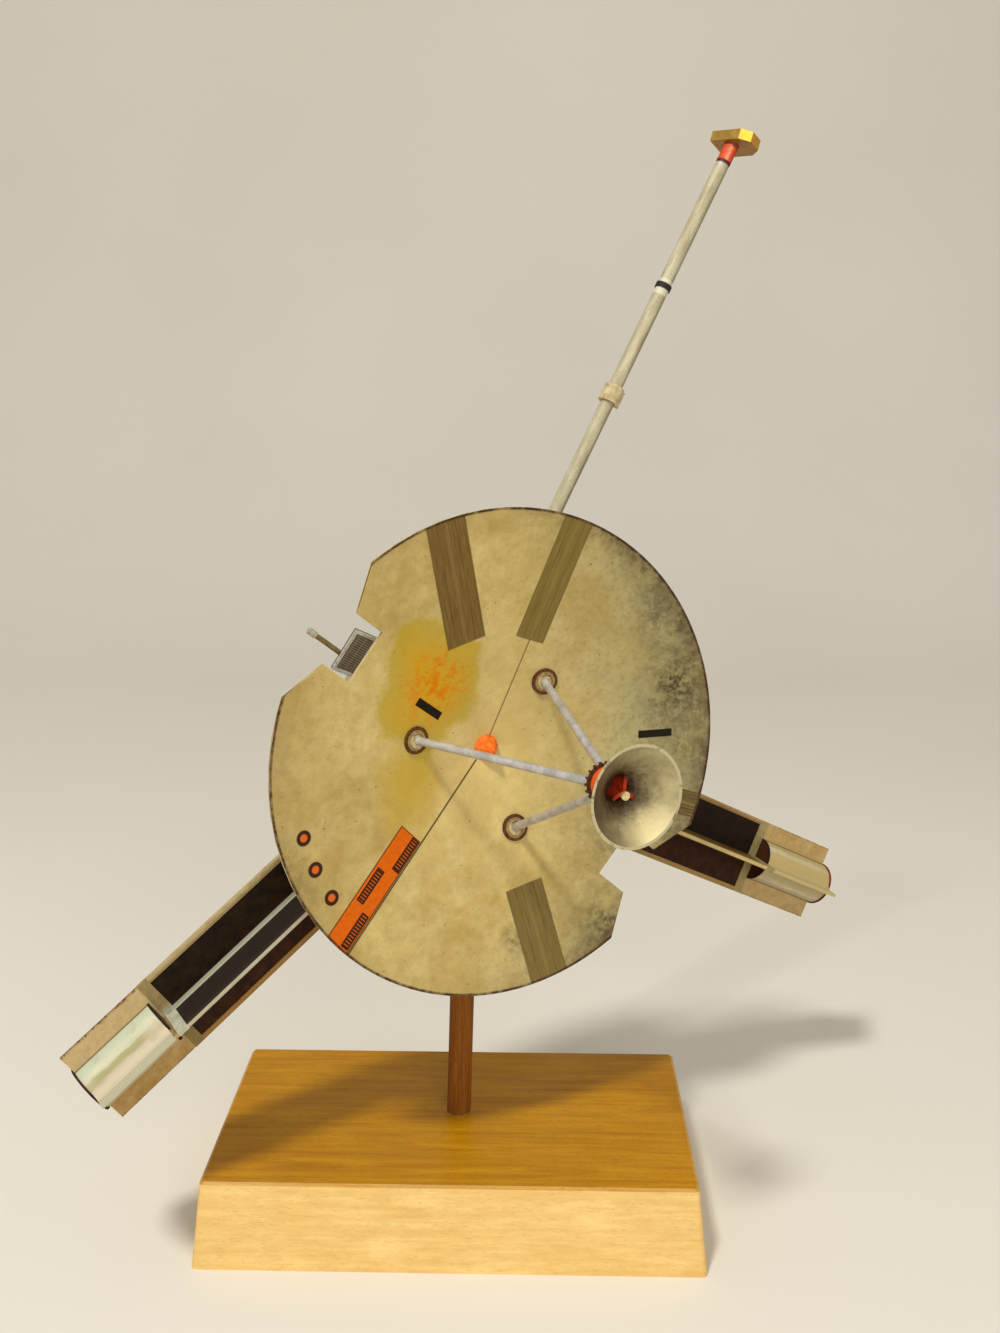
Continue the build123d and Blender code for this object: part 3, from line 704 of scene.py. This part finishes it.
def paint_girder(name, arm):
    """Dark crossed card with pale rods along its edges, and painted light and shade on its faces.
    """
    paint = ArmPaint(name + "_arm_print", arm, specular=0.12)
    # Painted light and shade on the black card: the upper half darkest, the lower browner, the
    # fin's side lit
    cloud = paint.noise(paint.here, 0.35, 6.0, 0.65)
    above = paint.blend(cloud, 0.38, 0.64, colour(22, 14, 5), colour(44, 27, 10))
    below = paint.blend(cloud, 0.38, 0.64, colour(38, 18, 7), colour(64, 34, 14))
    tone = paint.halves((above, below))
    fin_side = paint.past(paint.ahead_off, FIN_FOOT, 0.1)
    tone = paint.over(tone, arm["fin_side"], fin_side, 0.9)
    scuff = paint.ramp(paint.noise(paint.here, 0.9, 5.0, 0.7), 0.66, 0.72)
    tone = paint.over(tone, colour(84, 68, 46), scuff, 0.5)

    # Pale line along the fin's root, above the middle of the flat card
    root_line = paint.all_of(
        paint.past(paint.down, -1.3),
        paint.upper,
        paint.fade(paint.ahead_off, FIN_FOOT, FIN_FOOT + 0.1),
    )
    tone = paint.over(tone, colour(176, 172, 150), root_line, arm["root_line"])

    # Rods with a worn tone, striped along the top of the arm
    worn = paint.noise(paint.stretch(paint.here, 0.4, 1.0, 1.0), 1.0, 5.0, 0.7)
    rod = paint.halves(arm["rods"])
    rod = paint.over(rod, colour(118, 88, 48), paint.ramp(worn, 0.45, 0.7, 0.5))
    stripe = paint.all_of(paint.upper, paint.within(paint.down_off, 9.8))
    rod = paint.over(rod, colour(112, 78, 26), stripe, 0.45)
    tone = paint.over(tone, rod, paint.past(paint.down_off, FLAT_ROD))

    front, side = arm["fin_rod"]
    front = paint.over(front, colour(150, 132, 96), paint.ramp(worn, 0.45, 0.7, 0.4))
    in_front = paint.all_of(
        paint.ramp(paint.facing(AHEAD), 0.5, 0.8),
        paint.band(paint.down, arm["fin_lean"], 0.45, 0.08),
    )
    fin_rod = paint.over(side, front, in_front)
    tone = paint.over(tone, fin_rod, paint.past(paint.ahead_off, FIN_ROD))
    paint.finish_card(tone, paint.here, name + "_arm")


def paint_end_band(name, arm):
    """Card that closes the arm, paler round the middle as a painted highlight on its fold."""
    paint = ArmPaint(name + "_band_card", arm, specular=0.2)
    # Painted highlight along the fold round the middle
    middle = paint.any_of(
        paint.fade(paint.down_off, 1.0, 3.0),
        paint.ramp(paint.ahead_off, 0.8, 1.6),
    )
    tone = paint.over(paint.halves(arm["bands"]), arm["band_middle"], middle, 0.9)
    cloud = paint.noise(paint.here, 0.6, 5.0, 0.65)
    tone = paint.over(tone, colour(112, 92, 54), paint.ramp(cloud, 0.4, 0.66, 0.45))
    paint.finish_card(tone, paint.here, name + "_end_band")


def paint_unit_fins(name, arm):
    """Tan flat card with nicked borders, painted shade on its lower half and at the covers' feet.
    """
    paint = ArmPaint(name + "_fin_card", arm, specular=0.2)
    cloud = paint.noise(paint.here, 0.25, 5.0, 0.65)
    mottle = paint.noise(paint.here, 1.1, 5.0, 0.7)
    # The lower half's darker tan is painted shade
    tone = paint.halves(arm["flats"])
    tone = paint.over(tone, colour(222, 194, 140), paint.ramp(cloud, 0.4, 0.66, 0.35))
    tone = paint.over(tone, colour(140, 112, 66), paint.ramp(mottle, 0.5, 0.7, 0.35))
    # Dark line of painted shade where the covers meet the flat card
    beside_covers = paint.ramp(paint.along, arm["covers"], arm["covers"] + 0.1)
    foot = paint.band(paint.down_off, COVER_FOOT, 0.16, 0.1)
    tone = paint.over(tone, colour(84, 70, 44), foot, beside_covers, 0.7)

    nick = paint.ramp(paint.noise(paint.here, 1.6, 4.0, 0.7), 0.5, 0.56)
    border = paint.past(paint.down_off, FLAT_BORDER, 0.1)
    tone = paint.over(tone, colour(84, 62, 34), border, nick, 0.8)
    cut = paint.mix(nick, colour(138, 112, 70), colour(66, 46, 24))
    tone = paint.over(tone, cut, paint.cut_edge(0.4, 0.7), 0.8)
    paint.finish_card(tone, paint.here, name + "_unit_fins")


def paint_covers(name, arm):
    """Covers: long soft bands that follow the roll, from the flat card at 0 to the fin at 90."""
    paint = ArmPaint(name + "_cover_card", arm, specular=0.28)
    roll = paint.math("DEGREES", paint.math("ARCTAN2", paint.ahead_off, paint.down_off))
    cloud = paint.noise(paint.stretch(paint.here, 0.16, 0.6, 0.6), 1.0, 5.0, 0.6)
    roll = paint.math("ADD", roll, paint.ramp(cloud, 0.3, 0.7, 5.0, start=-5.0))
    # The upper and lower colours and the blend along the roll are partly print, partly painted
    # light and shade
    far = paint.halves(arm["covers_far"])
    near = paint.halves(arm["covers_near"])
    tone = paint.blend(roll, 28.0, 62.0, far, near)

    # Olive streak along the roll: painted shade, partly print
    start = arm["covers"]
    streak = paint.all_of(
        paint.band(roll, 60.0, 9.0, 3.5),
        paint.ramp(paint.along, start + 2.0, start + 6.0),
        paint.ramp(paint.along, start + 17.0, start + 20.0, 0.6, start=1.0),
    )
    tone = paint.over(tone, colour(160, 154, 104), streak, arm["streak"])
    # Painted sheen along the roll
    gloss = paint.all_of(paint.band(roll, 43.0, 7.0, 5.0), paint.ramp(cloud, 0.35, 0.6))
    tone = paint.over(tone, colour(218, 208, 172), gloss, 0.5)
    smudge = paint.ramp(paint.noise(paint.here, 0.3, 6.0, 0.7), 0.52, 0.7, 0.4)
    tone = paint.over(tone, colour(156, 148, 110), smudge)

    # Fin with two thin lines along it, and painted shade as a dark line at the foot
    tone = paint.over(tone, arm["fin"], paint.ramp(paint.ahead_off, 7.3, 7.6))
    lines = paint.any_of(
        paint.band(paint.ahead_off, 7.7, 0.12, 0.08),
        paint.band(paint.ahead_off, 8.7, 0.1, 0.08),
    )
    tone = paint.over(tone, colour(140, 134, 104), lines, 0.6)
    foot = paint.fade(paint.ahead_off, 0.55, 0.72)
    tone = paint.over(tone, colour(92, 78, 50), foot, 0.75)
    paint.finish_card(tone, paint.here, name + "_unit_body", low=0.4, high=0.6)


def paint_caps(name, arm):
    """Dark round caps: the inner one's face and the outer one's end toned as painted light."""
    paint = ArmPaint(name + "_cap_card", arm, specular=0.15)
    cloud = paint.noise(paint.here, 0.6, 5.0, 0.65)
    tone = paint.blend(cloud, 0.35, 0.65, colour(24, 16, 14), colour(44, 30, 22))
    # Painted light on the inner cap's face
    face = paint.all_of(
        paint.fade(paint.facing(clock(arm["angle"])), -0.7, -0.5),
        paint.fade(paint.length(paint.down, paint.ahead), 5.3, 5.45),
    )
    inner = paint.over(arm["near_cap"], colour(58, 38, 14), paint.ramp(cloud, 0.4, 0.7, 0.5))
    tone = paint.over(tone, inner, face)
    # Painted light at the outer cap's end, full on the upper half and weaker below
    end = paint.all_of(
        paint.ramp(paint.along, 110.0, 111.0),
        paint.ramp(paint.down, -0.5, 0.5, 0.4, start=1.0),
    )
    worn = paint.blend(cloud, 0.35, 0.65, arm["far_cap"], colour(70, 34, 20))
    tone = paint.over(tone, worn, end)
    paint.finish_card(tone, paint.here, name + "_unit_caps")


def paint_arms():
    """All the pieces of both arms."""
    for name, arm in ARMS.items():
        paint_girder(name, arm)
        paint_end_band(name, arm)
        paint_unit_fins(name, arm)
        paint_covers(name, arm)
        paint_caps(name, arm)


def paint_feet():
    """Rings and sockets of the tripod's feet: brown rims, pale card and a curved painted shade.
    """
    for number in (1, 2, 3):
        low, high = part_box(f"foot_ring_{number}")
        middle = (low + high) / (2 * MM)
        paint = FacePaint(f"foot_ring_card_{number}", middle, specular=0.2)
        cloud = paint.noise(paint.here, 1.3, 5.0, 0.65)
        rim = paint.blend(cloud, 0.35, 0.65, colour(58, 34, 12), colour(106, 68, 26))
        inner = paint.blend(cloud, 0.35, 0.65, colour(136, 104, 60), colour(176, 144, 96))
        radius = paint.length(paint.x, paint.y)
        tone = paint.over(inner, rim, paint.past(radius, 2.4, 0.1))
        paint.finish_card(tone, paint.here, f"foot_ring_{number}")

        paint = FacePaint(f"foot_socket_card_{number}", middle, specular=0.25)
        cloud = paint.noise(paint.here, 1.1, 5.0, 0.65)
        tone = paint.blend(cloud, 0.35, 0.65, colour(160, 142, 88), colour(206, 192, 142))
        # Curved painted shade inside each socket, on its upper right
        line = paint.band(paint.length(paint.x, paint.y), 1.55, 0.18)
        upper_right = paint.ramp(paint.math("ADD", paint.x, paint.y), -0.8, 0.6)
        tone = paint.over(tone, colour(86, 56, 24), line, upper_right, 0.85)
        paint.finish_card(tone, paint.here, f"foot_socket_{number}")


def paint_struts():
    """Grey-violet paint with dull specks."""
    paint = Paint("strut_paint", roughness=0.4, metallic=0.2, specular=0.4)
    here = paint.place()
    cloud = paint.noise(here, 0.3, 5.0, 0.65)
    tone = paint.blend(cloud, 0.35, 0.65, colour(160, 156, 150), colour(200, 196, 190))
    speck = paint.ramp(paint.noise(here, 1.6, 4.0, 0.7), 0.58, 0.7, 0.5)
    tone = paint.over(tone, colour(126, 116, 104), speck)
    paint.bump(paint.noise(here, 1.4, 4.0, 0.6), 0.25, 0.05)
    rough = paint.ramp(cloud, 0.3, 0.7, 0.5, start=0.32)
    paint.finish(tone, "strut_1", "strut_2", "strut_3", roughness=rough)


def paint_vanes():
    """Red card that turns dark towards the tips."""
    paint = FacePaint("vane_card", probe_point(*FEED_CENTRE), specular=0.2)
    cloud = paint.noise(paint.here, 1.5, 5.0, 0.65)
    tone = paint.blend(cloud, 0.38, 0.62, colour(150, 34, 10), colour(212, 68, 26))
    uneven = paint.ramp(cloud, 0.3, 0.7, 0.8, start=-0.8)
    radius = paint.math("ADD", paint.length(paint.x, paint.y), uneven)
    tone = paint.over(tone, colour(44, 18, 10), paint.ramp(radius, 1.6, 3.4, 0.95))
    paint.finish_card(tone, paint.here, "feed_vanes")


def paint_horn():
    """Silvery card with painted light and shade inside, darkest in the throat, and a worn cut
    edge.
    """
    paint = FacePaint("horn_card", probe_point(*FEED_CENTRE), metallic=0.1, specular=0.35)
    here = paint.here
    radius = paint.length(paint.x, paint.y)
    cloud = paint.noise(here, 0.22, 5.0, 0.6)
    tone = paint.blend(cloud, 0.35, 0.65, colour(146, 132, 90), colour(180, 166, 122))
    turn = paint.math("ARCTAN2", paint.y, paint.x)
    sweep = paint.join(turn, paint.math("MULTIPLY", radius, 0.12))
    sweep = paint.ramp(paint.noise(sweep, 2.4, 5.0, 0.65), 0.42, 0.66, 0.4)
    tone = paint.over(tone, colour(208, 194, 148), sweep)
    speck = paint.ramp(paint.noise(here, 1.3, 5.0, 0.7), 0.54, 0.7, 0.45)
    tone = paint.over(tone, colour(148, 128, 84), speck)

    # Painted highlight at the lower right, painted shade on the left and in the throat
    inside = paint.ramp(paint.facing(AHEAD), 0.0, 0.2)
    low = paint.fade(paint.y, -9.0, -3.0, 0.75)
    rightward = paint.ramp(paint.x, -3.0, 3.0)
    tone = paint.over(tone, colour(240, 222, 164), low, rightward, inside)
    leftward = paint.fade(paint.x, -9.0, 2.5, 0.9)
    tone = paint.over(tone, colour(74, 50, 22), leftward, inside)
    uneven = paint.ramp(paint.noise(here, 1.1, 5.0, 0.65), 0.35, 0.65, 0.8, start=-0.8)
    throat = paint.fade(paint.math("ADD", radius, uneven), 2.8, 7.2, 0.95)
    tone = paint.over(tone, colour(58, 32, 14), throat)

    nick = paint.ramp(paint.noise(here, 0.5, 3.0, 0.6), 0.56, 0.64, 0.7)
    cut = paint.mix(nick, colour(190, 178, 138), colour(112, 88, 50))
    forward = paint.ramp(paint.facing(AHEAD), 0.86, 0.95)
    tone = paint.over(tone, cut, forward, paint.ramp(radius, 9.6, 9.75))
    paint.finish_card(tone, here, "horn", low=0.36, high=0.55)


def paint_bus():
    """Bus and bay: grey-beige printed card with fine panel lines."""
    paint = FacePaint("bus_card", specular=0.3)
    cloud = paint.noise(paint.here, 0.12, 5.0, 0.6, 0.4)
    tone = paint.blend(cloud, 0.35, 0.65, colour(168, 150, 108), colour(198, 182, 140))
    mottle = paint.noise(paint.here, 0.9, 5.0, 0.7)
    tone = paint.over(tone, colour(132, 112, 74), paint.ramp(mottle, 0.5, 0.7, 0.5))
    lines = paint.any_of(
        paint.rules(paint.x, 4.8, 0.16, 0.08),
        paint.rules(paint.y, 4.8, 0.16, 0.08),
    )
    tone = paint.over(tone, colour(92, 74, 44), lines, 0.5)
    paint.finish_card(tone, paint.here, "bus", "equipment_bay", low=0.5, high=0.7)


def paint_instrument():
    """Tilted box whose front carries a fine pale grid on dark card."""
    out = clock(BAY_ANGLE)
    across = clock(BAY_ANGLE + 90.0)
    radius, offset, front = PANEL_PLACE
    middle = RIM_CENTRE + out * radius + across * offset + AHEAD * front
    facing = AHEAD * math.cos(PANEL_TILT) + across * math.sin(PANEL_TILT)
    paint = Paint("grid_card", specular=0.2)
    here = paint.place(middle, out, facing)
    x, y = paint.split(here)[:2]
    cloud = paint.noise(here, 1.0, 4.0, 0.6)
    ground = paint.blend(cloud, 0.35, 0.65, colour(86, 71, 52), colour(114, 97, 74))
    lines = paint.any_of(paint.rules(y, 0.28, 0.1, 0.07), paint.rules(x, 0.8, 0.09, 0.06))
    grid = paint.over(ground, colour(166, 156, 134), lines, 0.7)
    front_face = paint.ramp(paint.facing(facing), 0.85, 0.95)
    tone = paint.over(colour(52, 38, 22), grid, front_face)
    paint.finish_card(tone, here, "instrument_box", low=0.5, high=0.7)


class BoomPaint(Paint):
    """Paint with coordinates along the boom and sideways, to the left positive."""

    def __init__(self, name, **settings):
        super().__init__(name, **settings)
        root = probe_point(*BOOM_ROOT, BUS_MIDDLE)
        self.here = self.place(root, clock(BOOM_ANGLE), AHEAD)
        self.along, self.side = self.split(self.here)[:2]


def paint_boom():
    """Grey paper tubes with painted shade on the right, two pale wraps and a dark line at the
    end.
    """
    paint = BoomPaint("boom_paper", metallic=0.05, specular=0.3)
    cloud = paint.noise(paint.stretch(paint.here, 0.12, 0.5, 0.5), 1.0, 5.0, 0.6)
    tone = paint.blend(cloud, 0.35, 0.65, colour(160, 150, 117), colour(197, 188, 157))
    speck = paint.ramp(paint.noise(paint.here, 1.6, 4.0, 0.7), 0.54, 0.7, 0.5)
    tone = paint.over(tone, colour(132, 114, 78), speck)
    # Painted shade down the right side
    tone = paint.over(tone, colour(104, 82, 50), paint.fade(paint.side, -1.5, -0.1, 0.75))
    wraps = paint.any_of(
        paint.band(paint.along, 92.2, 0.9, 0.2),
        paint.band(paint.along, 94.9, 0.5, 0.1),
    )
    tone = paint.over(tone, colour(230, 224, 202), wraps, 0.5)
    tone = paint.over(tone, colour(84, 48, 62), paint.band(paint.along, 127.9, 0.35, 0.1))
    nodes = ("boom_lower_tube", "boom_upper_tube", "boom_socket")
    paint.finish_card(tone, paint.here, *nodes, low=0.4, high=0.6)


def paint_tip_tube():
    """Worn red-orange, with a painted highlight on the left, painted shade on the right, dark
    ends.
    """
    paint = BoomPaint("tip_card", specular=0.25)
    cloud = paint.noise(paint.here, 0.7, 5.0, 0.65)
    tone = paint.blend(cloud, 0.35, 0.65, colour(184, 58, 20), colour(214, 84, 38))
    # Painted highlight on the left side
    gleam = paint.band(paint.side, 0.7, 0.45, 0.3)
    tone = paint.over(tone, colour(246, 168, 124), gleam, paint.ramp(cloud, 0.38, 0.52), 0.6)
    # Painted shade on the right side
    tone = paint.over(tone, colour(112, 26, 16), paint.fade(paint.side, -1.5, -0.5, 0.6))
    ends = paint.any_of(
        paint.within(paint.along, 128.4, 0.1),
        paint.ramp(paint.along, 132.0, 132.6, 0.7),
    )
    tone = paint.over(tone, colour(84, 30, 40), ends)
    paint.finish_card(tone, paint.here, "boom_tip_tube", low=0.5, high=0.7)


# World directions and colours of the sensor case's faces: painted light and shade on the gilt
# card
CASE_FACE_LIGHT = (
    ((-0.571, -0.721, 0.393), colour(146, 112, 40)),
    ((0.047, -0.956, 0.289), colour(252, 222, 66)),
    ((0.777, -0.629, -0.025), colour(186, 128, 26)),
    ((-0.265, -0.291, -0.919), colour(140, 92, 26)),
)


def paint_case():
    """Gilt card with painted light and shade that differ on each face."""
    paint = Paint("case_card", metallic=0.2, specular=0.4)
    here = paint.place()
    tone = colour(176, 134, 44)
    for direction, shade in CASE_FACE_LIGHT:
        tone = paint.over(tone, shade, paint.ramp(paint.facing(direction), 0.93, 0.97))
    cloud = paint.noise(here, 0.5, 5.0, 0.65)
    tone = paint.over(tone, colour(214, 176, 84), paint.ramp(cloud, 0.42, 0.66, 0.3))
    speck = paint.ramp(paint.noise(here, 1.4, 5.0, 0.7), 0.54, 0.7, 0.45)
    tone = paint.over(tone, colour(140, 96, 26), speck)
    paint.finish_card(tone, here, "sensor_case", low=0.3, high=0.45)


def add_object(name, data):
    """New object in the scene."""
    made = bpy.data.objects.new(name, data)
    bpy.context.scene.collection.objects.link(made)
    return made


def smooth(data):
    """Smooth shading on every face."""
    data.polygons.foreach_set("use_smooth", [True] * len(data.polygons))


def glue_bead():
    """Small uneven ring of pale glue where the dowel enters the plinth."""
    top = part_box("plinth")[1].z
    foot = Vector((DOWEL_FOOT[0] * MM, DOWEL_FOOT[1] * MM, top))
    mesh = bmesh.new()
    rings = []
    for turn in range(BEAD_TURNS):
        angle = 2 * math.pi * turn / BEAD_TURNS
        spoke = Vector((math.cos(angle), math.sin(angle), 0.0))
        size = (BEAD_SIZE + BEAD_UNEVEN * field.noise(spoke * 2.3)) * MM
        centre = foot + spoke * (DOWEL_RADIUS * MM + size * 0.3)
        ring = []
        for step in range(BEAD_SIDES):
            a = 2 * math.pi * step / BEAD_SIDES
            rise = Vector((0.0, 0.0, math.sin(a) * size * 0.7))
            ring.append(mesh.verts.new(centre + spoke * math.cos(a) * size + rise))
        rings.append(ring)
    for ring, following in zip(rings, rings[1:] + rings[:1]):
        for step in range(BEAD_SIDES):
            other = (step + 1) % BEAD_SIDES
            mesh.faces.new((ring[step], following[step], following[other], ring[other]))
    data = bpy.data.meshes.new("glue_bead")
    mesh.to_mesh(data)
    mesh.free()
    smooth(data)
    bead = add_object("glue_bead", data)

    paint = Paint("dried_glue", roughness=0.35, specular=0.5)
    here = paint.place()
    cloud = paint.noise(here, 0.8, 3.0)
    tone = paint.blend(cloud, 0.35, 0.65, colour(140, 94, 36), colour(184, 138, 74))
    paint.bump(paint.noise(here, 2.0, 3.0), 0.3, 0.1)
    data.materials.append(paint.finish(tone))
    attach(bead, "root")


def make_stage():
    """Pale floor that sweeps up behind into the backdrop."""
    path = [(STAGE_FRONT, 0.0)]
    for step in range(BEND_STEPS + 1):
        a = math.pi / 2 * step / BEND_STEPS
        y = STAGE_BACK - STAGE_BEND + STAGE_BEND * math.sin(a)
        path.append((y, STAGE_BEND - STAGE_BEND * math.cos(a)))
    path.append((STAGE_BACK, STAGE_HEIGHT))
    points = [(side * STAGE_HALF_WIDTH, y, z) for y, z in path for side in (-1, 1)]
    faces = [(2 * i, 2 * i + 1, 2 * i + 3, 2 * i + 2) for i in range(len(path) - 1)]
    data = bpy.data.meshes.new("floor")
    data.from_pydata(points, [], faces)
    smooth(data)
    floor = add_object("floor", data)

    paint = Paint("floor_paper", roughness=0.85, specular=0.2)
    cloud = paint.noise(paint.place(), 0.004, 2.0)
    tone = paint.blend(cloud, 0.3, 0.7, colour(228, 222, 208), colour(232, 226, 213))
    data.materials.append(paint.finish(tone))


def make_light(name, place, size, power):
    """Round lamp, in metres and watts, that points at the middle of the part."""
    data = bpy.data.lights.new(name, "AREA")
    data.shape = "DISK"
    data.size = size
    data.energy = power
    data.color = LIGHT_TINT
    lamp = add_object(name, data)
    lamp.location = place
    lamp.rotation_euler = (LIGHT_TARGET - Vector(place)).to_track_quat("-Z", "Y").to_euler()


def make_lights():
    """Key and fill lamps, and weak even light from all round."""
    make_light("key", (-0.30, -0.625, 1.16), size=0.16, power=10.0)
    make_light("fill", (0.3, -1.1, 0.55), size=0.7, power=4.4)
    world = bpy.data.worlds.new("studio")
    world.use_nodes = True
    background = world.node_tree.nodes["Background"]
    background.inputs["Color"].default_value = (*LIGHT_TINT, 1.0)
    background.inputs["Strength"].default_value = WORLD_STRENGTH
    bpy.context.scene.world = world


def make_camera():
    """Camera at the photograph's place, turned by its yaw, pitch and roll."""
    yaw, pitch, roll = CAMERA_YAW, CAMERA_PITCH, CAMERA_ROLL
    ahead = Vector((
        math.sin(yaw) * math.cos(pitch),
        math.cos(yaw) * math.cos(pitch),
        -math.sin(pitch),
    ))
    level = Vector((math.cos(yaw), -math.sin(yaw), 0.0))
    down = ahead.cross(level)
    right = level * math.cos(roll) + down * math.sin(roll)
    below = down * math.cos(roll) - level * math.sin(roll)
    data = bpy.data.cameras.new("camera")
    data.sensor_fit = "HORIZONTAL"
    data.sensor_width = SENSOR
    data.lens = SENSOR * FOCAL_PIXELS / FRAME_PIXELS
    data.clip_start = 0.01
    camera = add_object("camera", data)
    turn = Matrix((right, -below, -ahead)).transposed().to_4x4()
    camera.matrix_world = Matrix.Translation(CAMERA_PLACE * MM) @ turn
    bpy.context.scene.camera = camera


make_camera()
make_lights()
make_stage()
paint_dish()
paint_backing()
paint_plinth()
paint_dowel()
paint_arms()
paint_feet()
paint_struts()
paint_vanes()
paint_horn()
paint_bus()
paint_instrument()
paint_boom()
paint_tip_tube()
paint_case()
paint_plain_cards()
glue_bead()
bpy.context.scene.view_settings.view_transform = "Standard"
